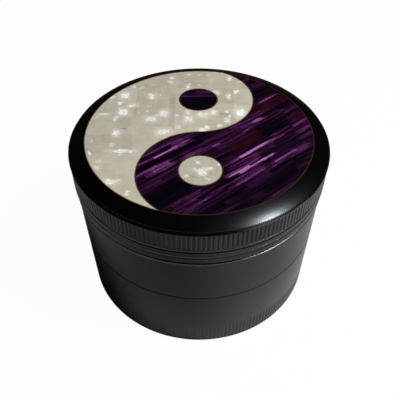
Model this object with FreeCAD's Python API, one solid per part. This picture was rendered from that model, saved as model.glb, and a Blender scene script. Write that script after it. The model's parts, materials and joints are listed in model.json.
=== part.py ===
import FreeCAD, Part
import math
import os

# Four-piece herb grinder: catcher, sieve chamber, grinding chamber and inlaid lid.
# Millimetres, +Z up, origin at the centre of the underside.

# Outside, from the foot up
outer_radius = 31.5
body_step = 0.35
catcher_height = 19.9
sieve_height = 13.5
neck_height = 0.65
lower_band_height = 1.38
groove_height = 0.42
upper_band_height = 1.44
lid_gap = 0.6
lid_height = 7.11

# Edges of the outside
foot_chamfer = 0.4
seam_height = 0.26
seam_depth = 0.3
rim_proud = 0.15
rim_flare = 0.08
rim_flare_height = 0.25
rim_round = 0.25
neck_depth = 0.8
groove_depth = 0.6
lip_height = 0.35
lip_flare = 0.1
lip_proud = 0.15
bevel_width = 3.45
bevel_drop = 1.2
bevel_crown = 0.12
lid_edge_width = 0.5
lid_edge_drop = 0.7
lid_edge_step = 0.15
lid_edge_bulge = 0.04

# Knurled bands
knurl_count = 192
knurl_land = 0.4
lid_knurl_gap = 0.28
lid_knurl_inset = 0.05
lid_knurl_depth = 0.18
foot_knurl_start = 0.8
foot_knurl_height = 5.6
foot_knurl_depth = 0.15
knurl_root = 0.4

# Inlay in the lid
inlay_thickness = 1.2
inlay_turn = 1.1
inlay_shift = 0.2
lobe_over = 1.2
inlay_rim_gap = 0.05
inlay_kerf = 0.05
dot_radius = 4.9
adhesive_thickness = 0.15

# Lid
lid_plate = 2.2
skirt_wall = 2.3
lid_clearance = 0.3
boss_height = 1.2
boss_wall = 1.5
lid_magnet_radius = 4.0
lid_magnet_height = 1.8

# Nylon ring between lid and chamber
glide_height = 1.2
glide_proud = 0.5
glide_inset = 0.2
running_clearance = 0.05

# Grinding chamber
spigot_wall = 1.85
lip_chamfer = 0.25
grinding_depth = 11.5
floor_thickness = 2.4
post_wall = 1.55
magnet_gap = 0.5
chamber_magnet_radius = 3.0
chamber_magnet_height = 2.0

# Teeth and drop holes
tooth_rows = 4
tooth_width = 3.0
tooth_row_gap = 0.9
tooth_wall_gap = 1.4
tooth_boss_gap = 2.1
tooth_tip_gap = 0.8
lid_outer_teeth = 12
chamber_outer_teeth = 10
lid_inner_teeth = 6
chamber_inner_teeth = 6
drop_hole_radius = 1.5
outer_drop_holes = 24
inner_drop_holes = 14

# Threads between the chambers
thread_wall = 1.65
thread_pitch = 1.5
thread_depth = 0.55
thread_base = 0.9
thread_crest = 0.35
thread_clearance = 0.2
thread_runout = 0.45
thread_sink = 0.2
sieve_spigot_length = 5.7
spigot_end_clearance = 0.3

# Sieve chamber
mesh_seat_wall = 1.5
mesh_ledge = 1.0
mesh_thickness = 0.25
mesh_edge_gap = 0.05
retainer_height = 1.3
retainer_width = 1.3
retainer_recess = 0.25

# Catcher
bowl_wall = 3.15
bowl_floor = 2.6
bowl_corner = 5.0

# Heights worked out from the stack
sieve_seat_z = catcher_height
chamber_seat_z = sieve_seat_z + sieve_height
lower_band_z = chamber_seat_z + neck_height
groove_z = lower_band_z + lower_band_height
upper_band_z = groove_z + groove_height
band_top_z = upper_band_z + upper_band_height
lid_bottom_z = band_top_z + lid_gap
top_z = lid_bottom_z + lid_height
recess_z = top_z - inlay_thickness - adhesive_thickness
lid_underside_z = recess_z - lid_plate
lip_top_z = lid_underside_z - glide_proud
floor_top_z = lip_top_z - grinding_depth
floor_bottom_z = floor_top_z - floor_thickness
boss_bottom_z = lid_underside_z - boss_height
post_top_z = boss_bottom_z - magnet_gap
sieve_spigot_z = sieve_seat_z - sieve_spigot_length
mesh_top_z = sieve_spigot_z + retainer_recess + retainer_height + mesh_thickness

# Radii worked out from the walls
body_radius = outer_radius - body_step
skirt_radius = outer_radius - skirt_wall
lip_radius = skirt_radius - lid_clearance
thread_bore_radius = body_radius - thread_wall
male_crest_radius = thread_bore_radius - thread_clearance
male_root_radius = male_crest_radius - thread_depth
grinding_radius = male_root_radius - spigot_wall
mesh_seat_radius = male_root_radius - mesh_seat_wall
sieve_hollow_radius = mesh_seat_radius - mesh_ledge
bowl_radius = body_radius - bowl_wall
bevel_radius = outer_radius - lid_edge_width
recess_radius = bevel_radius - bevel_width
inlay_radius = recess_radius - inlay_rim_gap
band_radius = outer_radius - lip_proud
rim_radius = body_radius + rim_proud
boss_radius = lid_magnet_radius + boss_wall
post_radius = chamber_magnet_radius + running_clearance + post_wall
thread_margin = thread_base / 2 + thread_runout

# The rows of teeth fill the space from the wall to the boss, alternately on the lid and on the chamber
tooth_space = grinding_radius - tooth_wall_gap - boss_radius - tooth_boss_gap
tooth_length = (tooth_space - (tooth_rows - 1) * tooth_row_gap) / tooth_rows
tooth_row_pitch = tooth_length + tooth_row_gap
lid_outer_row = grinding_radius - tooth_wall_gap - tooth_length / 2
chamber_outer_row = lid_outer_row - tooth_row_pitch
lid_inner_row = chamber_outer_row - tooth_row_pitch
chamber_inner_row = lid_inner_row - tooth_row_pitch

# Where the first of a row stands, in shares of a step from the X axis
on_axis = 0.0
beside_axis = 0.5

centre = FreeCAD.Vector(0, 0, 0)
up = FreeCAD.Vector(0, 0, 1)


def point(radius, angle, height=0.0):
    return FreeCAD.Vector(radius * math.cos(angle), radius * math.sin(angle), height)


def turned(outline):
    # Solid of revolution about Z from a closed outline of (radius, height) corners, outside upwards.
    # A third number bulges the edge that ends at its corner.
    edges = []
    start = FreeCAD.Vector(outline[-1][0], 0, outline[-1][1])
    for radius, height, *bulge in outline:
        end = FreeCAD.Vector(radius, 0, height)
        if bulge:
            chord = end - start
            outward = FreeCAD.Vector(chord.z, 0, -chord.x).normalize()
            middle = (start + end) * 0.5 + outward * bulge[0]
            edges.append(Part.Arc(start, middle, end).toShape())
        else:
            edges.append(Part.LineSegment(start, end).toShape())
        start = end
    return Part.Face(Part.Wire(edges)).revolve(centre, up, 360)


def rounding(size):
    # How far a quarter round of that size stands out from its chord
    return size * (1 - math.sqrt(0.5))


def disc(radius, low, high):
    return Part.makeCylinder(radius, high - low, FreeCAD.Vector(0, 0, low))


def ring(inner, outer, low, high):
    return disc(outer, low, high).cut(disc(inner, low, high))


def prism(corners, low, high):
    wire = Part.makePolygon(corners + corners[:1])
    wire.translate(FreeCAD.Vector(0, 0, low))
    return Part.Face(wire).extrude(FreeCAD.Vector(0, 0, high - low))


def knurled_ring(tip, depth, low, high):
    # Straight ribs with V grooves between them, closed on the inside by a round bore below the grooves
    step = 2 * math.pi / knurl_count
    corners = []
    for index in range(knurl_count):
        corners.append(point(tip, index * step))
        corners.append(point(tip, (index + knurl_land) * step))
        corners.append(point(tip - depth, (index + (1 + knurl_land) / 2) * step))
    return prism(corners, low, high).cut(disc(tip - depth - knurl_root, low, high))


def with_knurl(solid, tip, depth, low, high):
    # Replace the plain outside of a turned solid by a knurled band
    seat = tip - depth - knurl_root / 2
    band = knurled_ring(tip, depth, low, high)
    return solid.cut(ring(seat, outer_radius + knurl_root, low, high)).fuse(band)


def thread_ridge(root, depth, start, turns):
    # Helical ridge of trapezoid section, outwards for a positive depth, its flanks run on into its wall
    sunk = root - math.copysign(thread_sink, depth)
    flank_slope = (thread_base - thread_crest) / (2 * abs(depth))
    sunk_half = thread_base / 2 + thread_sink * flank_slope
    section = Part.makePolygon([
        FreeCAD.Vector(sunk, 0, -sunk_half),
        FreeCAD.Vector(root + depth, 0, -thread_crest / 2),
        FreeCAD.Vector(root + depth, 0, thread_crest / 2),
        FreeCAD.Vector(sunk, 0, sunk_half),
        FreeCAD.Vector(sunk, 0, -sunk_half),
    ])
    path = Part.Wire(Part.makeHelix(thread_pitch, turns * thread_pitch, root).Edges)
    ridge = path.makePipeShell([section], True, True)
    ridge.translate(FreeCAD.Vector(0, 0, start))
    return ridge


def male_thread(spigot_bottom, shoulder):
    start = spigot_bottom + thread_margin
    turns = (shoulder - thread_margin - start) / thread_pitch
    return thread_ridge(male_root_radius, thread_depth, start, turns)


def female_thread(spigot_bottom, shoulder):
    # Half a pitch above the mating ridge, so that the two lie in each other's gaps
    start = spigot_bottom + thread_margin + thread_pitch / 2
    turns = (shoulder - thread_margin - start) / thread_pitch
    return thread_ridge(thread_bore_radius, -thread_depth, start, turns)


def teeth(row, count, low, high, first):
    # Diamond-shaped teeth in one row, the first at the stated share of a step
    step = 2 * math.pi / count
    solids = []
    for index in range(count):
        angle = (index + first) * step
        outward = point(1, angle)
        along = point(1, angle + math.pi / 2)
        middle = outward * row
        corners = [
            middle + outward * (tooth_length / 2),
            middle + along * (tooth_width / 2),
            middle - outward * (tooth_length / 2),
            middle - along * (tooth_width / 2),
        ]
        solids.append(prism(corners, low, high))
    return Part.makeCompound(solids)


def drop_holes(row, count, first):
    step = 2 * math.pi / count
    holes = []
    for index in range(count):
        place = point(row, (index + first) * step, floor_bottom_z)
        holes.append(Part.makeCylinder(drop_hole_radius, floor_thickness, place))
    return holes


def make_catcher():
    body = turned([
        (0, 0),
        (body_radius - foot_chamfer, 0),
        (body_radius, foot_chamfer),
        (body_radius, sieve_seat_z),
        (0, sieve_seat_z),
    ])
    ledge_z = sieve_spigot_z - spigot_end_clearance
    bowl = disc(bowl_radius, bowl_floor, sieve_seat_z)
    lowest = [edge for edge in bowl.Edges if edge.BoundBox.ZMax < bowl_floor + bowl_corner]
    bowl = bowl.makeFillet(bowl_corner, lowest)
    body = body.cut(bowl).cut(disc(thread_bore_radius, ledge_z, sieve_seat_z))
    body = with_knurl(body, body_radius, foot_knurl_depth, foot_knurl_start,
                      foot_knurl_start + foot_knurl_height)
    return body.fuse(female_thread(sieve_spigot_z, sieve_seat_z))


def make_sieve_chamber():
    rim_z = chamber_seat_z - rim_round - rim_flare_height
    body = turned([
        (0, sieve_spigot_z),
        (male_root_radius, sieve_spigot_z),
        (male_root_radius, sieve_seat_z),
        (body_radius - seam_depth, sieve_seat_z),
        (body_radius - seam_depth, sieve_seat_z + seam_height),
        (body_radius, sieve_seat_z + seam_height),
        (body_radius, rim_z - rim_proud),
        (rim_radius, rim_z),
        (rim_radius - rim_flare, chamber_seat_z - rim_round),
        (rim_radius - rim_flare - rim_round, chamber_seat_z, rounding(rim_round)),
        (0, chamber_seat_z),
    ])
    bore_z = floor_bottom_z - spigot_end_clearance
    body = body.cut(disc(thread_bore_radius, bore_z, chamber_seat_z))
    body = body.cut(disc(sieve_hollow_radius, mesh_top_z, bore_z))
    body = body.cut(disc(mesh_seat_radius, sieve_spigot_z, mesh_top_z))
    body = body.fuse(male_thread(sieve_spigot_z, sieve_seat_z))
    return body.fuse(female_thread(floor_bottom_z, chamber_seat_z))


def make_sieve_mesh():
    return disc(mesh_seat_radius - mesh_edge_gap, mesh_top_z - mesh_thickness, mesh_top_z)


def make_sieve_retaining_ring():
    outer = mesh_seat_radius - running_clearance
    high = mesh_top_z - mesh_thickness
    return ring(outer - retainer_width, outer, high - retainer_height, high)


def make_grinding_chamber():
    groove_radius = outer_radius - groove_depth
    lip_z = upper_band_z + lip_height
    body = turned([
        (0, floor_bottom_z),
        (male_root_radius, floor_bottom_z),
        (male_root_radius, chamber_seat_z),
        (outer_radius - neck_depth, chamber_seat_z),
        (outer_radius - neck_depth, lower_band_z),
        (band_radius, lower_band_z),
        (band_radius, groove_z),
        (groove_radius, groove_z),
        (groove_radius, upper_band_z),
        (outer_radius, upper_band_z),
        (outer_radius - lip_flare, lip_z),
        (band_radius, lip_z + lip_proud - lip_flare, rounding(lip_proud - lip_flare)),
        (band_radius, band_top_z),
        (lip_radius, band_top_z),
        (lip_radius, lip_top_z - lip_chamfer),
        (lip_radius - lip_chamfer, lip_top_z),
        (0, lip_top_z),
    ])
    body = body.cut(disc(grinding_radius, floor_top_z, lip_top_z))
    holes = drop_holes(lid_outer_row, outer_drop_holes, beside_axis)
    holes += drop_holes(lid_inner_row, inner_drop_holes, beside_axis)
    body = body.cut(Part.makeCompound(holes))
    body = body.fuse(disc(post_radius, floor_bottom_z, post_top_z))
    body = body.fuse(male_thread(floor_bottom_z, chamber_seat_z))
    pocket = disc(chamber_magnet_radius + running_clearance, post_top_z - chamber_magnet_height, post_top_z)
    return body.cut(pocket)


def make_chamber_teeth(row, count):
    return teeth(row, count, floor_top_z, lid_underside_z - tooth_tip_gap, beside_axis)


def make_chamber_magnet():
    return disc(chamber_magnet_radius, post_top_z - chamber_magnet_height, post_top_z)


def make_lid():
    bevel_z = top_z - bevel_drop
    knurl_top_z = bevel_z - lid_edge_drop
    lip_z = lid_bottom_z + lip_height
    knurl_radius = outer_radius - lid_knurl_inset
    body = turned([
        (0, lid_underside_z),
        (skirt_radius, lid_underside_z),
        (skirt_radius, lid_bottom_z),
        (outer_radius, lid_bottom_z),
        (outer_radius - lip_flare, lip_z),
        (band_radius, lip_z + lip_proud - lip_flare, rounding(lip_proud - lip_flare)),
        (band_radius, knurl_top_z),
        (outer_radius, knurl_top_z),
        (bevel_radius, bevel_z - lid_edge_step, lid_edge_bulge),
        (bevel_radius, bevel_z),
        (recess_radius, top_z, bevel_crown),
        (recess_radius, recess_z),
        (0, recess_z),
    ])
    body = with_knurl(body, knurl_radius, lid_knurl_depth,
                      lip_z + lip_proud + lid_knurl_gap, knurl_top_z)
    body = body.fuse(disc(boss_radius, boss_bottom_z, recess_z))
    body = body.cut(disc(lid_magnet_radius, boss_bottom_z, boss_bottom_z + lid_magnet_height))
    inner = grinding_radius + glide_inset - running_clearance
    outer = lip_radius - glide_inset + running_clearance
    return body.cut(ring(inner, outer, lid_underside_z, lip_top_z + glide_height))


def make_lid_teeth(row, count, first):
    return teeth(row, count, floor_top_z + tooth_tip_gap, lid_underside_z, first)


def make_lid_glide_ring():
    inner = grinding_radius + glide_inset
    outer = lip_radius - glide_inset
    return ring(inner, outer, lip_top_z, lip_top_z + glide_height)


def make_lid_magnet():
    return disc(lid_magnet_radius, boss_bottom_z, boss_bottom_z + lid_magnet_height)


def on_inlay_rim(height, radius, side):
    # Where a circle about a point on the Y axis crosses the rim of the inlay
    y = (inlay_radius ** 2 + height ** 2 - radius ** 2) / (2 * height)
    return FreeCAD.Vector(side * math.sqrt(inlay_radius ** 2 - y ** 2), y, 0)


def make_inlay_field(turn, shift):
    # One half of the yin-yang: outer arc, hollow round the other half's head, own head.
    # The heads are rounds that run on past the rim, so that the tails end before they reach the axis.
    lobe = (inlay_radius + lobe_over) / 2
    head = lobe - inlay_kerf
    hollow = lobe + inlay_kerf
    own = FreeCAD.Vector(0, shift + lobe, 0)
    other = FreeCAD.Vector(0, shift - lobe, 0)
    brow = on_inlay_rim(own.y, head, 1)
    tip = on_inlay_rim(other.y, hollow, -1)
    waist = FreeCAD.Vector(0, shift + inlay_kerf, 0)
    outline = Part.Wire([
        Part.Arc(brow, FreeCAD.Vector(-inlay_radius, 0, 0), tip).toShape(),
        Part.Arc(tip, other - FreeCAD.Vector(hollow, 0, 0), waist).toShape(),
        Part.Arc(waist, own + FreeCAD.Vector(head, 0, 0), brow).toShape(),
    ])
    field = Part.Face(outline).extrude(FreeCAD.Vector(0, 0, inlay_thickness))
    place = FreeCAD.Vector(0, shift + inlay_radius / 2, 0)
    field = field.cut(Part.makeCylinder(dot_radius + 2 * inlay_kerf, inlay_thickness, place))
    field.rotate(centre, up, turn)
    field.translate(FreeCAD.Vector(0, 0, top_z - inlay_thickness))
    return field


def make_inlay_dot(turn, shift):
    dot = Part.makeCylinder(dot_radius, inlay_thickness, FreeCAD.Vector(0, shift + inlay_radius / 2, 0))
    dot.rotate(centre, up, turn)
    dot.translate(FreeCAD.Vector(0, 0, top_z - inlay_thickness))
    return dot


def make_inlay_adhesive():
    return disc(inlay_radius, recess_z, recess_z + adhesive_thickness)


pieces = {
    "catcher": make_catcher(),
    "sieve_chamber": make_sieve_chamber(),
    "sieve_mesh": make_sieve_mesh(),
    "sieve_retaining_ring": make_sieve_retaining_ring(),
    "grinding_chamber": make_grinding_chamber(),
    "chamber_teeth_outer": make_chamber_teeth(chamber_outer_row, chamber_outer_teeth),
    "chamber_teeth_inner": make_chamber_teeth(chamber_inner_row, chamber_inner_teeth),
    "chamber_magnet": make_chamber_magnet(),
    "lid": make_lid(),
    "lid_teeth_outer": make_lid_teeth(lid_outer_row, lid_outer_teeth, beside_axis),
    "lid_teeth_inner": make_lid_teeth(lid_inner_row, lid_inner_teeth, on_axis),
    "lid_glide_ring": make_lid_glide_ring(),
    "lid_magnet": make_lid_magnet(),
    "inlay_adhesive": make_inlay_adhesive(),
    "inlay_light_field": make_inlay_field(inlay_turn, -inlay_shift),
    "inlay_dark_field": make_inlay_field(inlay_turn + 180, inlay_shift),
    "inlay_dark_dot": make_inlay_dot(inlay_turn, -inlay_shift),
    "inlay_light_dot": make_inlay_dot(inlay_turn + 180, inlay_shift),
}

os.makedirs("parts", exist_ok=True)
for name, shape in pieces.items():
    shape.exportStep("parts/" + name + ".step")
    print(name, len(shape.Solids), shape.isValid(), round(shape.Volume, 2))
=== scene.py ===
import json
import math

import bmesh
import bpy
from mathutils import Matrix, Vector

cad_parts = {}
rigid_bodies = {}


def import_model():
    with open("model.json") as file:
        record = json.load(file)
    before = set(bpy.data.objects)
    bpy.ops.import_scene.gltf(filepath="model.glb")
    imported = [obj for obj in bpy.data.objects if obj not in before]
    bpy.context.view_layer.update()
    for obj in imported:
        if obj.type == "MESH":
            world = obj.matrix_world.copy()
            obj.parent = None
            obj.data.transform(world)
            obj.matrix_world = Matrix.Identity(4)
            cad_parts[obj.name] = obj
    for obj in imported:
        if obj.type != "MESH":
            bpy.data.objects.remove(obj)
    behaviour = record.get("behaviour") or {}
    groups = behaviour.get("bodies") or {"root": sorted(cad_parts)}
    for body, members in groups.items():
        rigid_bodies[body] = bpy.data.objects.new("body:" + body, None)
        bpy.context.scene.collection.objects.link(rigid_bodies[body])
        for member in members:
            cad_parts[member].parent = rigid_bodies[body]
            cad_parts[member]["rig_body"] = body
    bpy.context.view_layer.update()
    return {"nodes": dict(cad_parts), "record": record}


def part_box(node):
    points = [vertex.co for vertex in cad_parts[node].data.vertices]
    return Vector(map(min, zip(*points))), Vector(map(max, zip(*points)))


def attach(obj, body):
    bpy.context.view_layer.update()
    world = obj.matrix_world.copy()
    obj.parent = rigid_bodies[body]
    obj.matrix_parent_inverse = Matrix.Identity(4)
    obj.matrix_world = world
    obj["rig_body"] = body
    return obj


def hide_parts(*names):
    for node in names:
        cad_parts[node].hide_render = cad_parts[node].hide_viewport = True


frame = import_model()
scene = bpy.context.scene
scene.view_settings.view_transform = "Standard"
print("frame loaded:", len(frame["nodes"]), "nodes")
perMetre = 1000.0  # finishes are laid out in millimetres, and the frame is in metres


def outside(node):
    # Radius and top of a round piece, in millimetres
    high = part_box(node)[1]
    return high.x * perMetre, high.z * perMetre


def middle(node):
    # Centre of a piece's box, in millimetres
    low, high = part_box(node)
    return (low + high) / 2 * perMetre


class Wire:
    # A node socket that takes part in sums, with plain numbers on either side
    def __init__(self, tree, end=None):
        self.tree = tree
        self.end = end

    def make(self, kind, settings=None, values=None, output=0):
        node = self.tree.nodes.new(kind)
        for name, value in (settings or {}).items():
            if name == "stops":
                ramp = node.color_ramp
                ramp.elements.remove(ramp.elements[1])
                ramp.elements[0].position = value[0][0]
                ramp.elements[0].color = (*value[0][1], 1.0)
                for place, colour in value[1:]:
                    ramp.elements.new(place).color = (*colour, 1.0)
            else:
                setattr(node, name, value)
        for name, value in (values or {}).items():
            if isinstance(value, Wire):
                self.tree.links.new(value.end, node.inputs[name])
            else:
                node.inputs[name].default_value = value
        if isinstance(output, tuple):
            return [Wire(self.tree, node.outputs[each]) for each in output]
        return Wire(self.tree, node.outputs[output] if len(node.outputs) else None)

    def sum(self, operation, *terms):
        return self.make("ShaderNodeMath", {"operation": operation}, dict(enumerate(terms)))

    def __add__(self, other):
        return self.sum("ADD", self, other)

    def __radd__(self, other):
        return self.sum("ADD", other, self)

    def __sub__(self, other):
        return self.sum("SUBTRACT", self, other)

    def __rsub__(self, other):
        return self.sum("SUBTRACT", other, self)

    def __mul__(self, other):
        return self.sum("MULTIPLY", self, other)

    def __rmul__(self, other):
        return self.sum("MULTIPLY", other, self)

    def __truediv__(self, other):
        return self.sum("DIVIDE", self, other)

    def __rtruediv__(self, other):
        return self.sum("DIVIDE", other, self)

    def __pow__(self, other):
        return self.sum("POWER", self, other)

    def __gt__(self, other):
        return self.sum("GREATER_THAN", self, other)

    def __lt__(self, other):
        return self.sum("LESS_THAN", self, other)

    def __abs__(self):
        return self.sum("ABSOLUTE", self)


def rise(value, low, high):
    # 0 below low, 1 above high, smooth between; falls where low is above high
    settings = {"interpolation_type": "SMOOTHSTEP", "clamp": True}
    flip = low > high
    values = {"Value": value, "From Min": min(low, high), "From Max": max(low, high)}
    values.update({"To Min": 1.0 if flip else 0.0, "To Max": 0.0 if flip else 1.0})
    return value.make("ShaderNodeMapRange", settings, values)


def mixColour(factor, first, second):
    settings = {"data_type": "RGBA"}
    tints = [tint if isinstance(tint, Wire) else (*tint, 1.0) for tint in (first, second)]
    return factor.make("ShaderNodeMix", settings, {0: factor, 6: tints[0], 7: tints[1]}, 2)


def noise(paint, place, scale, detail=2.0, rough=0.5):
    values = {"Vector": place, "Scale": scale, "Detail": detail, "Roughness": rough}
    return paint.make("ShaderNodeTexNoise", {}, values)


def ragged(paint, place, scale, reach):
    # The place itself, pushed about by up to half of reach
    push = paint.make("ShaderNodeTexNoise", {}, {"Vector": place, "Scale": scale, "Detail": 2.0}, "Color")
    push = paint.make("ShaderNodeVectorMath", {"operation": "SUBTRACT"}, {0: push, 1: (0.5, 0.5, 0.5)})
    values = {0: push, 1: (reach, reach, 0.0), 2: place}
    return paint.make("ShaderNodeVectorMath", {"operation": "MULTIPLY_ADD"}, values)


def patch(paint, place, spot, full, gone):
    # One squarish patch from its x, y, half length and half width
    x, y, halfLong, halfWide = spot
    values = {0: place, 1: (1 / halfLong, 1 / halfWide, 0.0), 2: (-x / halfLong, -y / halfWide, 0.0)}
    away = paint.make("ShaderNodeVectorMath", {"operation": "MULTIPLY_ADD"}, values)
    square = paint.make("ShaderNodeVectorMath", {"operation": "MULTIPLY"}, {0: away, 1: away})
    reach = paint.make("ShaderNodeVectorMath", {"operation": "LENGTH"}, {0: square}, "Value")
    return rise(reach, gone, full)


def patches(paint, place, spots, full, gone):
    # The strongest of a set of patches, each with its strength
    strongest = None
    for *spot, strength in spots:
        shown = patch(paint, place, spot, full, gone) * strength
        strongest = shown if strongest is None else shown.sum("MAXIMUM", strongest, shown)
    return strongest


def layers(paint, place, spots, level, full, gone):
    # Patches laid one over the other, each with its own level
    for *spot, own in spots:
        shown = patch(paint, place, spot, full, gone)
        level = paint.make("ShaderNodeMix", {"data_type": "FLOAT"}, {0: shown, 2: level, 3: own})
    return level


def joinAxes(paint, x, y, z=0.0):
    return paint.make("ShaderNodeCombineXYZ", {}, {"X": x, "Y": y, "Z": z})


def splitAxes(paint, vector):
    return paint.make("ShaderNodeSeparateXYZ", {}, {"Vector": vector}, ("X", "Y", "Z"))


def placeInMillimetres(paint):
    place = paint.make("ShaderNodeTexCoord", {}, {}, "Object")
    return paint.make("ShaderNodeVectorMath", {"operation": "SCALE"}, {"Vector": place, "Scale": perMetre})


def newMaterial(name):
    material = bpy.data.materials.new(name)
    material.use_nodes = True
    material.node_tree.nodes.clear()
    return material, Wire(material.node_tree)


def bump(paint, height, micrometres):
    values = {"Height": height, "Distance": micrometres * 1e-6, "Strength": 1.0}
    return paint.make("ShaderNodeBump", {}, values, "Normal")


def closeMaterial(paint, values):
    shader = paint.make("ShaderNodeBsdfPrincipled", {}, values)
    paint.make("ShaderNodeOutputMaterial", {}, {"Surface": shader})


# Black anodised aluminium: satin turned sides, a bright-turned bevel on the lid, a worn rim on the sieve.
# A turned band is given by how far it reaches down from the top of its piece and in from the outside.
anodisedLook = {
    "satin": (0.0075, 0.0075, 0.0072),
    "satinRough": 0.27,
    "satinShine": 0.5,
    "coolShine": (0.86, 0.93, 1.0),
    "turningScale": 6.0,
    "turningShare": 0.6,
    "grainScale": 7.0,
    "grainRough": 0.1,
    "grainShare": 0.4,
    "cloudScale": 0.09,
    "cloudRough": 0.12,
    "cloudLighter": 1.25,
    "depth": 3.0,
    "seamAbove": 0.13,
    "seamReach": 0.3,
    "seamFull": 0.7,
    "seamRough": 0.6,
    "bevel": {
        "node": "lid", "down": 1.92, "inward": 31.5,
        "tint": (0.0006, 0.0006, 0.0006), "rough": 0.24, "metal": 0.0,
    },
    "rim": {
        "node": "sieve_chamber", "down": 0.22, "inward": 0.33,
        "tint": (0.14, 0.144, 0.148), "rough": 0.33, "metal": 1.0,
    },
    "bandFade": 0.03,
    "bandTurning": 0.05,
    "bandSmooth": 0.85,
    "stretch": 0.4,
    "stretchTurn": 0.25,
}


def anodised(name, turned=None):
    look = anodisedLook
    material, paint = newMaterial(name)
    place = placeInMillimetres(paint)
    x, y, z = splitAxes(paint, place)
    radius = (x * x + y * y) ** 0.5
    fine = look["turningScale"]
    turning = noise(paint, joinAxes(paint, radius * fine, z * fine), 1.0, 3.0)
    grain = noise(paint, place, look["grainScale"], 3.0)
    cloud = noise(paint, place, look["cloudScale"], 2.0)
    seamHeight = outside("catcher")[1] + look["seamAbove"]
    seam = rise(abs(z - seamHeight), look["seamReach"], look["seamReach"] * look["seamFull"])
    rough = look["satinRough"] + (cloud - 0.5) * look["cloudRough"] + (grain - 0.5) * look["grainRough"]
    rough = rough + seam * look["seamRough"]
    tint = mixColour(cloud, look["satin"], [part * look["cloudLighter"] for part in look["satin"]])
    height = turning * look["turningShare"] + grain * look["grainShare"]
    values = {"Specular IOR Level": look["satinShine"], "Specular Tint": (*look["coolShine"], 1.0)}
    if turned:
        band = look[turned]
        edge, top = outside(band["node"])
        low = top - band["down"]
        bright = rise(z, low - look["bandFade"], low + look["bandFade"]) * (radius > edge - band["inward"])
        tint = mixColour(bright, tint, band["tint"])
        rough = rough + bright * (band["rough"] + (turning - 0.5) * look["bandTurning"] - rough)
        height = height * (1.0 - bright * look["bandSmooth"])
        values["Metallic"] = bright * band["metal"]
        values["Anisotropic"] = look["stretch"]
        values["Anisotropic Rotation"] = look["stretchTurn"]
    values.update({"Base Color": tint, "Roughness": rough, "Normal": bump(paint, height, look["depth"])})
    closeMaterial(paint, values)
    return material


# Inlay: the burnt edge of each cut piece
inlayLook = {
    "lobeOver": 1.2,
    "kerf": 0.05,
    "edgeWidth": 0.22,
    "wanderScale": 1.3,
    "wanderFrom": 0.6,
    "wanderMore": 0.8,
    "edgeFull": 0.3,
    "edgeGone": 1.3,
    "edge": (0.16, 0.085, 0.03),
    "darkEdge": (0.045, 0.022, 0.01),
}


def inlayFigure():
    # The figure's sizes and its turn, from the boxes of its pieces
    radius = outside("inlay_adhesive")[0]
    dotLow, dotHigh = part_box("inlay_dark_dot")
    darkDot, lightDot = middle("inlay_dark_dot"), middle("inlay_light_dot")
    half = ((darkDot - lightDot) / 2).xy
    return {
        "radius": radius,
        "lobe": (radius + inlayLook["lobeOver"]) / 2,
        "dot": (dotHigh.x - dotLow.x) / 2 * perMetre + inlayLook["kerf"],
        "dotPlace": half.length,
        "turn": math.atan2(-half.x, half.y),
        "shift": ((darkDot + lightDot) / 2).xy.dot(half.normalized()),
    }


def inlayEdge(paint, place):
    look = inlayLook
    figure = inlayFigure()
    lobe, dot, dotPlace = figure["lobe"], figure["dot"], figure["dotPlace"]
    values = {"Vector": place, "Angle": -figure["turn"]}
    turned = paint.make("ShaderNodeVectorRotate", {"rotation_type": "Z_AXIS"}, values)
    x, y, z = splitAxes(paint, turned)
    y = y - figure["shift"]

    def ring(height, radius):
        return abs((x * x + (y - height) * (y - height)) ** 0.5 - radius)

    side = x > 0.0
    curve = side * ring(lobe, lobe) + (1.0 - side) * ring(-lobe, lobe)
    dots = x.sum("MINIMUM", ring(dotPlace, dot), ring(-dotPlace, dot))
    rim = ring(-figure["shift"], figure["radius"])
    nearest = rim.sum("MINIMUM", rim.sum("MINIMUM", rim, curve), dots)
    wander = noise(paint, place, look["wanderScale"], 2.0)
    width = look["edgeWidth"] * (look["wanderFrom"] + look["wanderMore"] * wander)
    return rise(nearest / width, look["edgeGone"], look["edgeFull"])


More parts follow.
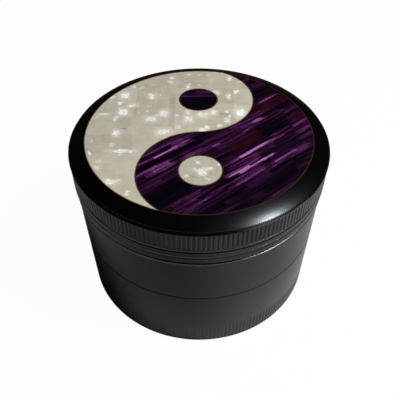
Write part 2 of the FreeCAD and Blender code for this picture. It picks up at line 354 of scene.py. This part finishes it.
# White pearl: faint tiles along X and Y, the large bright flakes and the shades at places given in
# millimetres, and small flakes strewn at random; the flakes' brightness is a painted glint, with a painted
# halo around the large ones
lightLook = {
    "base": (0.57, 0.54, 0.44),
    "dim": (0.41, 0.385, 0.305),
    "paintedGlint": (0.97, 0.97, 0.94),
    "shade": (0.26, 0.235, 0.175),
    "columns": [-15.8, -8.0, -6.0, 2.2, 8.9],
    "rows": [18.7, 11.4, 6.2, -1.4, -8.4],
    "raggedLines": (0.35, 0.5),
    "tileShare": 0.5,
    "cloudScale": 0.32,
    "cloudShare": 0.9,
    "fibreAlong": 0.2,
    "fibreAcross": 1.1,
    "fibreShare": 1.2,
    "dimmer": 0.85,
    "chipScale": 1.5,
    "chipSpread": 0.8,
    "chipPush": 0.7,
    "strewnScale": 0.4,
    "strewnChance": 0.72,
    "strewnSize": (0.1, 0.2),
    "strewnStrength": (0.25, 0.5),
    "strewnFade": (1.2, 0.7),
    "raggedShades": (0.9, 0.6),
    "shadeFade": (0.3, 1.3),
    "coreFade": (0.35, 1.4),
    "coreStrength": (0.6, 0.5),
    "paintedHaloFade": (0.2, 5.0),
    "paintedHaloShare": 0.5,
    "rough": 0.24,
    "cloudRough": 0.1,
    "shine": 0.4,
    "depth": 4.0,
    "fieldShades": [
        (-18.2, 4.0, 1.9, 2.2, 0.2), (-18.6, 0.9, 1.2, 0.35, 0.7), (-7.0, 8.0, 0.9, 7.5, 0.35),
        (1.0, 7.2, 1.3, 0.45, 0.5), (-16.2, 12.0, 0.35, 7.0, 0.25), (6.2, 7.2, 1.4, 0.5, 0.4),
    ],
    "fieldFlakes": [
        (-19.7, 15.2, 1.0, 1.2, 0.9), (-12.5, 14.7, 0.8, 0.9, 0.8), (8.3, 23.6, 0.5, 0.9, 0.9),
        (4.6, 16.9, 0.8, 0.7, 0.7), (7.8, 14.7, 0.5, 1.0, 0.9), (10.4, 7.6, 1.0, 1.6, 1.0),
        (0.9, 6.8, 1.4, 1.1, 0.7), (3.5, 7.6, 0.8, 0.9, 0.8), (-2.9, 7.7, 0.7, 0.7, 0.7),
        (-2.6, 4.9, 0.9, 1.1, 0.8), (7.0, 4.5, 0.5, 0.7, 0.9), (-8.8, 7.2, 1.2, 1.3, 0.7),
        (-11.9, 4.9, 1.2, 1.0, 0.8), (-17.2, 10.5, 1.1, 0.6, 0.9), (-19.3, 7.9, 1.1, 1.4, 0.9),
        (-24.0, 6.8, 1.2, 0.4, 0.8), (-19.9, -0.8, 0.7, 1.1, 0.8), (-8.8, -0.3, 1.3, 1.1, 0.9),
        (0.7, 0.5, 0.9, 0.6, 0.8), (-17.7, -7.5, 2.5, 0.4, 0.8), (-19.2, -17.7, 1.2, 0.7, 0.9),
    ],
    "dotShades": [(0.0, -13.8, 6.0, 6.0, 0.15), (-1.0, -15.9, 1.2, 0.6, 0.4), (2.4, -15.2, 0.8, 0.5, 0.4)],
    "dotFlakes": [(0.0, -13.8, 1.3, 0.4, 0.7), (0.6, -14.7, 0.9, 0.8, 0.9), (2.0, -13.5, 0.8, 0.4, 0.8)],
}


def raised(pair, share):
    # The first value, raised by a share of the second
    return pair[0] + pair[1] * share


def lightPearl(name, piece):
    look = lightLook
    material, paint = newMaterial(name)
    place = placeInMillimetres(paint)
    x, y, z = splitAxes(paint, ragged(paint, place, *look["raggedLines"]))
    column = sum([x > line for line in look["columns"][1:]], x > look["columns"][0])
    row = sum([y > line for line in look["rows"][1:]], y > look["rows"][0])
    cell = {"Vector": joinAxes(paint, column, row)}
    tile = paint.make("ShaderNodeTexWhiteNoise", {"noise_dimensions": "2D"}, cell, "Value")
    cloud = noise(paint, place, look["cloudScale"], 4.0)
    along, across = look["fibreAlong"], look["fibreAcross"]
    level = noise(paint, joinAxes(paint, x * along, y * across), 1.0, 3.0)
    upright = noise(paint, joinAxes(paint, x * across, y * along), 1.0, 3.0)
    fibre = level.sum("MAXIMUM", level, upright)
    paleness = tile * look["tileShare"] + cloud * look["cloudShare"] + fibre * look["fibreShare"]
    tint = mixColour(paleness - look["dimmer"], look["dim"], look["base"])
    square = {"distance": "CHEBYCHEV", "voronoi_dimensions": "2D"}
    values = {"Vector": place, "Scale": look["chipScale"], "Randomness": look["chipSpread"]}
    chips = paint.make("ShaderNodeTexVoronoi", square, values, "Color")
    sideways, down, own = splitAxes(paint, chips)
    push = joinAxes(paint, (sideways - 0.5) * look["chipPush"], (down - 0.5) * look["chipPush"])
    broken = paint.make("ShaderNodeVectorMath", {"operation": "ADD"}, {0: place, 1: push})
    values = {"Vector": broken, "Scale": look["strewnScale"]}
    distance, draws = paint.make("ShaderNodeTexVoronoi", square, values, ("Distance", "Color"))
    chance, size, strength = splitAxes(paint, draws)
    small = rise(distance / raised(look["strewnSize"], size), *look["strewnFade"])
    small = small * (chance > look["strewnChance"]) * raised(look["strewnStrength"], strength)
    loose = ragged(paint, place, *look["raggedShades"])
    shade = patches(paint, loose, look[piece + "Shades"], *look["shadeFade"])
    tint = mixColour(shade, tint, look["shade"])
    # Flake cores and strewn flakes are lit up as painted glints, with a painted halo around the large flakes
    core = patches(paint, broken, look[piece + "Flakes"], *look["coreFade"])
    core = core * raised(look["coreStrength"], own)
    paintedHalo = patches(paint, place, look[piece + "Flakes"], *look["paintedHaloFade"]) * fibre
    paintedGlint = core.sum("MAXIMUM", core.sum("MAXIMUM", core, small), paintedHalo * look["paintedHaloShare"])
    tint = mixColour(paintedGlint, tint, look["paintedGlint"])
    tint = mixColour(inlayEdge(paint, place), tint, inlayLook["edge"])
    closeMaterial(paint, {
        "Base Color": tint,
        "Roughness": look["rough"] + cloud * look["cloudRough"],
        "Specular IOR Level": look["shine"],
        "Normal": bump(paint, cloud, look["depth"]),
    })
    return material


# Purple pearl: the large plates laid one over the other at places given in millimetres along and
# across the slant, each with its level from near black to magenta, and split lengthwise into random slivers
darkLook = {
    "stops": [
        (0.0, (0.0006, 0.0002, 0.0012)),
        (0.12, (0.0038, 0.0009, 0.005)),
        (0.25, (0.0135, 0.0027, 0.0155)),
        (0.42, (0.041, 0.007, 0.044)),
        (0.62, (0.1, 0.021, 0.1)),
        (0.82, (0.22, 0.06, 0.22)),
        (1.0, (0.40, 0.15, 0.43)),
    ],
    "navy": (0.002, 0.0009, 0.0065),
    "maroon": (0.024, 0.0013, 0.005),
    "bare": 0.24,
    "swayScale": 0.06,
    "sway": 2.0,
    "unevenScale": 0.6,
    "uneven": 3.0,
    "broadStrip": (11.0, 1.9),
    "thinStrip": (7.0, 0.55),
    "stripLean": 0.5,
    "stripStagger": 9.0,
    "lineScale": (0.08, 1.8),
    "lineFade": (0.36, 0.64),
    "endScale": (0.15, 2.5),
    "endReach": 4.0,
    "edgeScale": 0.35,
    "edgeReach": 0.7,
    "plateFade": (0.6, 1.3),
    "grainScale": 2.6,
    "grainShare": 1.1,
    "broadShare": (0.4, 0.9),
    "thinShare": (0.05, 1.0),
    "lineShare": 0.7,
    "brighter": 1.15,
    "darker": 0.02,
    "tingeFade": (0.3, 1.4),
    "navyThin": 0.6,
    "maroonThin": 0.35,
    "rough": 0.22,
    "lineRough": 0.08,
    "shine": 0.35,
    "depth": 3.0,
    "fieldSlant": 39.0,
    "fieldPlates": [
        (-8.0, 1.5, 9.0, 1.6, 0.3), (-12.0, -1.2, 8.0, 0.4, 0.5), (-12.0, -2.6, 9.5, 0.6, 0.1),
        (-17.0, -4.7, 6.0, 1.3, 0.62), (-3.0, -5.2, 6.0, 1.8, 0.42), (-17.0, -7.3, 5.0, 1.1, 0.3),
        (-18.5, -12.4, 6.0, 3.0, 0.07), (-15.0, -16.5, 6.5, 1.0, 0.33), (-13.5, -18.7, 6.0, 0.3, 0.62),
        (1.0, -24.0, 12.0, 2.4, 0.16), (24.5, 9.0, 3.0, 4.0, 0.3), (22.5, -0.4, 5.0, 0.3, 0.62),
        (20.0, -2.4, 8.0, 1.5, 0.27), (6.0, -5.3, 7.5, 1.8, 0.4), (17.3, -5.6, 5.0, 0.7, 0.75),
        (6.0, -9.7, 5.5, 2.0, 0.2), (14.0, -10.5, 6.5, 1.5, 0.1), (5.0, -13.3, 9.0, 0.4, 0.5),
        (16.5, -15.0, 7.5, 2.6, 0.34), (0.0, -15.3, 5.5, 1.2, 0.45), (1.5, -17.0, 6.8, 0.5, 0.68),
        (6.6, -17.0, 1.6, 0.4, 0.95), (-1.0, -18.8, 5.0, 1.1, 0.5), (12.0, -19.8, 7.5, 0.9, 0.45),
    ],
    "fieldNavy": [(14.0, -10.5, 6.5, 1.6, 0.9), (-18.5, -12.4, 6.0, 3.2, 0.5), (1.0, -24.0, 10.0, 1.5, 0.35)],
    "fieldMaroon": [(6.0, -9.7, 5.5, 2.2, 0.85), (20.0, -2.4, 8.0, 1.6, 0.55), (23.0, -10.8, 3.5, 1.2, 0.6)],
    "dotSlant": 0.0,
    "dotPlates": [
        (-0.3, 16.0, 5.0, 1.1, 0.27), (0.3, 15.0, 4.5, 0.25, 0.27), (-0.2, 13.3, 5.0, 0.2, 0.27),
        (-0.3, 11.0, 5.0, 1.9, 0.06),
    ],
    "dotNavy": [(-0.3, 11.0, 5.0, 1.9, 0.7)],
    "dotMaroon": [(-0.3, 17.5, 2.0, 0.6, 0.3)],
}


def strips(paint, x, y, length, width):
    # A number for each of the long straight strips that lie side by side
    row = y.sum("FLOOR", y / width)
    start = paint.make("ShaderNodeTexWhiteNoise", {"noise_dimensions": "1D"}, {"W": row}, "Value")
    lean = x + y * darkLook["stripLean"]
    column = x.sum("FLOOR", lean / length + start * darkLook["stripStagger"])
    cell = {"Vector": joinAxes(paint, row, column)}
    return paint.make("ShaderNodeTexWhiteNoise", {"noise_dimensions": "2D"}, cell, "Value")


def darkPearl(name, piece):
    look = darkLook
    material, paint = newMaterial(name)
    place = placeInMillimetres(paint)
    values = {"Vector": place, "Angle": math.radians(-look[piece + "Slant"])}
    turned = paint.make("ShaderNodeVectorRotate", {"rotation_type": "Z_AXIS"}, values)
    x, y, z = splitAxes(paint, turned)
    sway = noise(paint, place, look["swayScale"], 1.0)
    uneven = noise(paint, joinAxes(paint, 0.0, y * look["unevenScale"]), 1.0, 2.0)
    across = y + uneven * look["uneven"] + sway * look["sway"]
    broad = strips(paint, x, across, *look["broadStrip"])
    thin = strips(paint, x, across, *look["thinStrip"])
    lineLong, lineWide = look["lineScale"]
    line = noise(paint, joinAxes(paint, x * lineLong, across * lineWide), 1.0, 3.0, 0.6)
    line = rise(line, *look["lineFade"])
    endLong, endWide = look["endScale"]
    ends = noise(paint, joinAxes(paint, x * endLong, y * endWide), 1.0, 1.0)
    edges = noise(paint, joinAxes(paint, x * look["edgeScale"], y * look["edgeScale"]), 1.0, 2.0)
    laid = joinAxes(paint, x + (ends - 0.5) * look["endReach"], y + (edges - 0.5) * look["edgeReach"])
    plates = layers(paint, laid, look[piece + "Plates"], look["bare"], *look["plateFade"])
    grain = noise(paint, place, look["grainScale"], 2.0, 0.7)
    fineStreak = raised(look["thinShare"], thin) + look["lineShare"] * line
    streak = raised(look["broadShare"], broad) * fineStreak
    sheen = plates * (streak + (grain - 0.5) * look["grainShare"]) * look["brighter"] - look["darker"]
    tint = paint.make("ShaderNodeValToRGB", {"stops": look["stops"]}, {"Fac": sheen})
    navy = patches(paint, laid, look[piece + "Navy"], *look["tingeFade"])
    tint = mixColour(navy * (1.0 - look["navyThin"] * thin), tint, look["navy"])
    maroon = patches(paint, laid, look[piece + "Maroon"], *look["tingeFade"])
    tint = mixColour(maroon * (1.0 - look["maroonThin"] * thin), tint, look["maroon"])
    tint = mixColour(inlayEdge(paint, place), tint, inlayLook["darkEdge"])
    closeMaterial(paint, {
        "Base Color": tint,
        "Roughness": look["rough"] + line * look["lineRough"],
        "Specular IOR Level": look["shine"],
        "Normal": bump(paint, line, look["depth"]),
    })
    return material


# Steel, nickel and plain plastic, all inside
innerLook = {
    "smearScale": 0.4,
    "smearDarker": 0.85,
    "smearRough": 0.1,
    "turningRough": 0.15,
    "metalDepth": 3.0,
    "cloudScale": 0.3,
    "cloudDarker": 0.88,
    "grainScale": 5.0,
    "grainRough": 0.15,
    "plasticDepth": 4.0,
}


def brushedMetal(name, tint, rough, lines):
    look = innerLook
    material, paint = newMaterial(name)
    place = placeInMillimetres(paint)
    x, y, z = splitAxes(paint, place)
    radius = (x * x + y * y) ** 0.5
    turning = noise(paint, joinAxes(paint, radius * lines, z * lines), 1.0, 3.0)
    smear = noise(paint, place, look["smearScale"], 3.0)
    closeMaterial(paint, {
        "Base Color": mixColour(smear, [part * look["smearDarker"] for part in tint], tint),
        "Metallic": 1.0,
        "Roughness": rough + (turning - 0.5) * look["turningRough"] + (smear - 0.5) * look["smearRough"],
        "Normal": bump(paint, turning, look["metalDepth"]),
    })
    return material


def plainPlastic(name, tint, rough):
    look = innerLook
    material, paint = newMaterial(name)
    place = placeInMillimetres(paint)
    cloud = noise(paint, place, look["cloudScale"], 3.0)
    grain = noise(paint, place, look["grainScale"], 2.0)
    closeMaterial(paint, {
        "Base Color": mixColour(cloud, [part * look["cloudDarker"] for part in tint], tint),
        "Roughness": rough + (grain - 0.5) * look["grainRough"],
        "Normal": bump(paint, grain, look["plasticDepth"]),
    })
    return material


finishes = {
    "catcher_black": anodised("catcherBlack"),
    "sieve_black": anodised("sieveBlack", "rim"),
    "chamber_black": anodised("chamberBlack"),
    "tooth_black": anodised("toothBlack"),
    "lid_black": anodised("lidBlack", "bevel"),
    "mesh_steel": brushedMetal("meshSteel", (0.62, 0.62, 0.6), 0.35, 5.0),
    "ring_steel": brushedMetal("ringSteel", (0.6, 0.6, 0.59), 0.3, 8.0),
    "magnet_nickel": brushedMetal("magnetNickel", (0.72, 0.7, 0.66), 0.16, 3.0),
    "nylon": plainPlastic("nylon", (0.82, 0.81, 0.76), 0.45),
    "adhesive": plainPlastic("adhesive", (0.55, 0.5, 0.4), 0.6),
    "light_pearl": lightPearl("lightPearl", "field"),
    "light_dot_pearl": lightPearl("lightDotPearl", "dot"),
    "dark_pearl": darkPearl("darkPearl", "field"),
    "dark_dot_pearl": darkPearl("darkDotPearl", "dot"),
}
print("finishes made:", len(finishes))


# Every node but the screen is shown by a merged copy of its solids, with the directions of the exact surfaces
# kept, except on the small turned rounds; metres
pieceLook = {
    "weld": 2e-6,
    "outside": 0.0305,
    "longest": 0.00035,
    "passes": 2,
    "nearRound": 0.0001,
    "rounds": {
        "sieve_chamber": [{"centre": 0.03097, "height": 0.03315, "radius": 0.00025, "top": 0.0334}],
        "grinding_chamber": [{"centre": 0.03135, "height": 0.0362, "radius": 0.00005, "top": 0.03625}],
        "lid": [
            {"centre": 0.03135, "height": 0.03824, "radius": 0.00005, "top": 0.03829},
            {"centre": 0.029988, "height": 0.042228, "radius": 0.001745, "top": 0.04365},
        ],
    },
}


def roundOut(shape):
    # Halve the long edges of the turned outside, and set the new corners out to the true radius
    distance = shape.verts.layers.float.new("distance")
    for corner in shape.verts:
        corner[distance] = corner.co.xy.length
    for count in range(pieceLook["passes"]):
        chosen = []
        for edge in shape.edges:
            outside = min(corner[distance] for corner in edge.verts) > pieceLook["outside"]
            along = (edge.verts[0].co - edge.verts[1].co).xy.length
            if outside and along > pieceLook["longest"]:
                chosen.append(edge)
        if chosen:
            bmesh.ops.subdivide_edges(shape, edges=chosen, cuts=1, use_grid_fill=True)
        for corner in shape.verts:
            if corner[distance] > pieceLook["outside"]:
                corner.co.xy = corner.co.xy.normalized() * corner[distance]
    bmesh.ops.triangulate(shape, faces=[face for face in shape.faces if len(face.verts) > 3])


def setRoundDirections(shape, kept, node):
    # A corner on a small turned round faces straight away from the round's centre
    for turned in pieceLook["rounds"].get(node, []):
        centre, height = turned["centre"], turned["height"]
        for face in shape.faces:
            spot = face.calc_center_median()
            reach = math.hypot(spot.xy.length - centre, spot.z - height)
            onRound = abs(reach - turned["radius"]) < pieceLook["nearRound"]
            if onRound and height < spot.z < turned["top"]:
                for corner in face.loops:
                    place = corner.vert.co
                    out = place.xy.normalized() * (place.xy.length - centre)
                    corner[kept] = Vector((out.x, out.y, place.z - height)).normalized()


def showPiece(node, mesh):
    piece = bpy.data.objects.new(node + "Piece", mesh)
    scene.collection.objects.link(piece)
    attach(piece, frame["nodes"][node]["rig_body"])
    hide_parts(node)


def dress(node, slot):
    plain = frame["nodes"][node].data
    shape = bmesh.new()
    shape.from_mesh(plain)
    shape.faces.ensure_lookup_table()
    kept = shape.loops.layers.float_vector.new("kept")
    for flat, face in zip(plain.polygons, shape.faces):
        for index, corner in zip(flat.loop_indices, face.loops):
            corner[kept] = plain.corner_normals[index].vector
    bmesh.ops.remove_doubles(shape, verts=shape.verts, dist=pieceLook["weld"])
    roundOut(shape)
    setRoundDirections(shape, kept, node)
    shape.verts.index_update()
    corners = [corner.co.copy() for corner in shape.verts]
    faces = [[corner.index for corner in face.verts] for face in shape.faces]
    directions = [corner[kept].normalized() for face in shape.faces for corner in face.loops]
    shape.free()
    mesh = bpy.data.meshes.new(node + "Shape")
    mesh.from_pydata(corners, [], faces)
    mesh.shade_smooth()
    mesh.normals_split_custom_set(directions)
    mesh.materials.append(finishes[slot])
    showPiece(node, mesh)


# Woven screen: two sets of wires that pass over and under each other; pitch in metres
screenLook = {
    "node": "sieve_mesh",
    "pitch": 0.0008,
    "sides": 4,
    "pointsPerStep": 4.0,
}


def weaveWires(weave, steps, pitch, wire, height, turned):
    def axis(amount, other):
        # Along the wires, or across them where other is true
        return joinAxes(weave, 0.0, amount) if turned != other else joinAxes(weave, amount, 0.0)

    reach = steps * pitch
    start = 0.0 - reach
    values = {"Count": steps * 2.0 + 1.0, "Start Location": axis(start, True), "Offset": axis(pitch, True)}
    rail = weave.make("GeometryNodeMeshLine", {}, values)
    values = {"Start": axis(start, False), "End": axis(reach, False)}
    strand = weave.make("GeometryNodeCurvePrimitiveLine", {}, values)
    points = steps * screenLook["pointsPerStep"] + 1.0
    strand = weave.make("GeometryNodeResampleCurve", {}, {"Curve": strand, "Count": points})
    strands = weave.make("GeometryNodeInstanceOnPoints", {}, {"Points": rail, "Instance": strand})
    strands = weave.make("GeometryNodeRealizeInstances", {}, {"Geometry": strands})
    x, y, z = splitAxes(weave, weave.make("GeometryNodeInputPosition"))
    beyond = (x * x + y * y) ** 0.5 > reach - wire
    strands = weave.make("GeometryNodeDeleteGeometry", {}, {"Geometry": strands, "Selection": beyond})
    half = wire * (-0.5 if turned else 0.5)
    sway = x.sum("COSINE", x * math.pi / pitch) * y.sum("COSINE", y * math.pi / pitch) * half
    offset = joinAxes(weave, 0.0, 0.0, height + sway)
    strands = weave.make("GeometryNodeSetPosition", {}, {"Geometry": strands, "Offset": offset})
    values = {"Resolution": screenLook["sides"], "Radius": wire * 0.5}
    outline = weave.make("GeometryNodeCurvePrimitiveCircle", {}, values)
    values = {"Curve": strands, "Profile Curve": outline, "Fill Caps": True}
    return weave.make("GeometryNodeCurveToMesh", {}, values)


def makeScreen(node, slot):
    low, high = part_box(node)
    reach = (high.x - low.x) / 2
    steps = round(reach / screenLook["pitch"])
    sizes = {"Steps": steps, "Pitch": reach / steps}
    sizes.update({"Wire": (high.z - low.z) / 2, "Height": (high.z + low.z) / 2})
    tree = bpy.data.node_groups.new("wovenScreen", "GeometryNodeTree")
    kinds = {"Steps": "Int", "Pitch": "Float", "Wire": "Float", "Height": "Float", "Finish": "Material"}
    keys = {}
    for name, kind in kinds.items():
        socket = tree.interface.new_socket(name, in_out="INPUT", socket_type="NodeSocket" + kind)
        keys[name] = socket.identifier
    tree.interface.new_socket("Geometry", in_out="OUTPUT", socket_type="NodeSocketGeometry")
    weave = Wire(tree)
    *inputs, finish = weave.make("NodeGroupInput", {}, {}, tuple(kinds))
    warp, weft = [weaveWires(weave, *inputs, turned) for turned in (False, True)]
    joined = weave.make("GeometryNodeJoinGeometry", {}, {"Geometry": warp})
    tree.links.new(weft.end, joined.end.node.inputs["Geometry"])
    joined = weave.make("GeometryNodeRealizeInstances", {}, {"Geometry": joined})
    joined = weave.make("GeometryNodeSetMaterial", {}, {"Geometry": joined, "Material": finish})
    weave.make("NodeGroupOutput", {}, {"Geometry": joined})
    holder = bpy.data.objects.new("screenHolder", bpy.data.meshes.new("screenHolder"))
    scene.collection.objects.link(holder)
    modifier = holder.modifiers.new("wovenScreen", "NODES")
    modifier.node_group = tree
    for name, value in sizes.items():
        modifier[keys[name]] = value
    modifier[keys["Finish"]] = finishes[slot]
    mesh = bpy.data.meshes.new_from_object(holder.evaluated_get(bpy.context.evaluated_depsgraph_get()))
    bpy.data.objects.remove(holder)
    showPiece(node, mesh)
    print("screen woven:", len(mesh.polygons), "faces")


for part in frame["record"]["subparts"]:
    make = makeScreen if part["node"] == screenLook["node"] else dress
    make(part["node"], part["material_slot"])
print("pieces dressed")


# Floor: pale, white to the camera with the object's faint shadow; metal sees in it a painted light from the
# right and a painted shadow on the left, as emission. Places of the painted light and the painted shadow are
# in millimetres.
floorLook = {
    "halfSize": 3.0,
    "height": -2e-5,
    "tint": (0.8, 0.8, 0.8),
    "seenGlow": 0.97,
    "shadow": (0.012, 0.009, 0.004),
    "paintedLitPaper": (1.0, 0.99, 0.96),
    # Levels of the painted light that metal sees in the floor, by place
    "everywhere": 0.2,
    "right": {"from": -8.0, "to": 24.0, "level": 0.26},
    "near": {"from": 44.0, "to": 33.0, "level": 0.14},
    "farRight": {"from": 38.0, "to": 58.0, "level": 0.22},
    "farLeft": {"from": -38.0, "to": -58.0, "level": 0.1},
    "far": {"from": 76.0, "to": 120.0, "dimmer": 0.9},
    "front": {"from": -30.0, "to": -80.0, "level": 0.55},
    # Place of the painted shadow on the left, seen only in reflections
    "shade": {"x": -15.0, "y": 14.0, "narrower": 1.12, "from": 36.0, "to": 52.0},
}


def makeFloor():
    look = floorLook
    half = look["halfSize"]
    corners = [(-half, -half, look["height"]), (half, -half, look["height"]),
               (half, half, look["height"]), (-half, half, look["height"])]
    mesh = bpy.data.meshes.new("floorShape")
    mesh.from_pydata(corners, [], [(0, 1, 2, 3)])
    material, paint = newMaterial("floorPaint")
    x, y, z = splitAxes(paint, placeInMillimetres(paint))
    away = (x * x + y * y) ** 0.5

    def fade(value, name):
        return rise(value, look[name]["from"], look[name]["to"])

    # Painted light, seen only in reflections
    level = look["everywhere"]
    for value, name in ((x, "right"), (away, "near"), (x, "farRight"), (x, "farLeft")):
        level = level + look[name]["level"] * fade(value, name)
    far = fade(away, "far")
    front = fade(y, "front")
    level = level * (1.0 - look["far"]["dimmer"] * far * (1.0 - front)) + look["front"]["level"] * far * front
    # Painted shadow of the object on the floor, seen only in reflections
    sideways = (x - look["shade"]["x"]) * look["shade"]["narrower"]
    back = y - look["shade"]["y"]
    lit = fade((sideways * sideways + back * back) ** 0.5, "shade")
    paintedReflection = mixColour(level * lit, look["shadow"], look["paintedLitPaper"])
    wanted = ("Is Camera Ray", "Is Transmission Ray", "Is Glossy Ray")
    rays = paint.make("ShaderNodeLightPath", {}, {}, wanted)
    seen = rays[0].sum("MAXIMUM", rays[0], rays[1])
    glow = seen.sum("MAXIMUM", seen * look["seenGlow"], rays[2])
    dull = paint.make("ShaderNodeBsdfDiffuse", {}, {"Color": (*look["tint"], 1.0)})
    # Metal sees only the painted light and the painted shadow, as emission; the camera sees white
    shown = mixColour(rays[2], (1.0, 1.0, 1.0), paintedReflection)
    light = paint.make("ShaderNodeEmission", {}, {"Color": shown, "Strength": 1.0})
    mixed = paint.make("ShaderNodeMixShader", {}, {0: glow, 1: dull, 2: light})
    paint.make("ShaderNodeOutputMaterial", {}, {"Surface": mixed})
    mesh.materials.append(material)
    floor = bpy.data.objects.new("floor", mesh)
    scene.collection.objects.link(floor)


makeFloor()


# Surroundings: white to the camera, otherwise a dim room with a small warm light low on the right
roomLook = {
    "dim": (0.01, 0.009, 0.008),
    "warm": (2.2, 1.8, 1.2),
    "warmWay": (0.74, -0.6, 0.3),
    "warmFade": (0.945, 0.99),
}


def makeRoom():
    look = roomLook
    world = bpy.data.worlds.new("room")
    world.use_nodes = True
    world.node_tree.nodes.clear()
    scene.world = world
    paint = Wire(world.node_tree)
    way = paint.make("ShaderNodeTexCoord", {}, {}, "Generated")
    towards = Vector(look["warmWay"]).normalized()
    values = {0: way, 1: tuple(towards)}
    along = paint.make("ShaderNodeVectorMath", {"operation": "DOT_PRODUCT"}, values, "Value")
    tint = mixColour(rise(along, *look["warmFade"]), look["dim"], look["warm"])
    rays = paint.make("ShaderNodeLightPath", {}, {}, ("Is Camera Ray", "Is Transmission Ray"))
    seen = rays[0].sum("MAXIMUM", rays[0], rays[1])
    tint = mixColour(seen, tint, (1.0, 1.0, 1.0))
    glow = paint.make("ShaderNodeBackground", {}, {"Color": tint, "Strength": 1.0})
    paint.make("ShaderNodeOutputWorld", {}, {"Surface": glow})


makeRoom()


# Soft boxes, each placed by the way it lies from a point inside the object; metres and watts
lampTarget = (0.0, 0.0, 0.03)
lampLook = {
    "high": {"way": (0.56, -0.15, 0.815), "away": 0.5, "size": (0.11, 0.11), "power": 2.9},
    "low": {"way": (0.9, -0.43, 0.02), "away": 0.5, "size": (0.36, 0.05), "power": 0.4},
}


def makeLamp(name, look):
    lamp = bpy.data.lights.new(name, "AREA")
    lamp.shape = "RECTANGLE"
    lamp.size, lamp.size_y = look["size"]
    lamp.energy = look["power"]
    lampObject = bpy.data.objects.new(name, lamp)
    way = Vector(look["way"]).normalized()
    lampObject.location = Vector(lampTarget) + way * look["away"]
    lampObject.rotation_euler = way.to_track_quat("Z", "Y").to_euler()
    scene.collection.objects.link(lampObject)


for lampName, look in lampLook.items():
    makeLamp(lampName + "Lamp", look)
print("stage and lamps set")


# Camera, fitted to the photograph; metres, degrees, and the focal length in pixels of the photograph
cameraLook = {
    "place": (0.0, -0.09245, 0.11627),
    "down": 45.817,
    "roll": 0.271,
    "yaw": 0.159,
    "focalPixels": 477.87,
    "photoPixels": 400.0,
    "sensor": 36.0,
    "nearest": 0.005,
    "farthest": 20.0,
}


def makeCamera():
    look = cameraLook
    down, roll, yaw = (math.radians(look[name]) for name in ("down", "roll", "yaw"))
    ahead = Vector((math.sin(yaw) * math.cos(down), math.cos(yaw) * math.cos(down), -math.sin(down)))
    level = ahead.cross(Vector((0.0, 0.0, 1.0))).normalized()
    upright = level.cross(ahead)
    across = level * math.cos(roll) + upright * math.sin(roll)
    top = upright * math.cos(roll) - level * math.sin(roll)
    camera = bpy.data.cameras.new("photoCamera")
    camera.sensor_width = look["sensor"]
    camera.lens = look["sensor"] * look["focalPixels"] / look["photoPixels"]
    camera.clip_start = look["nearest"]
    camera.clip_end = look["farthest"]
    cameraObject = bpy.data.objects.new("photoCamera", camera)
    turn = Matrix((across, top, -ahead)).transposed().to_4x4()
    cameraObject.matrix_world = Matrix.Translation(look["place"]) @ turn
    scene.collection.objects.link(cameraObject)
    scene.camera = cameraObject


makeCamera()
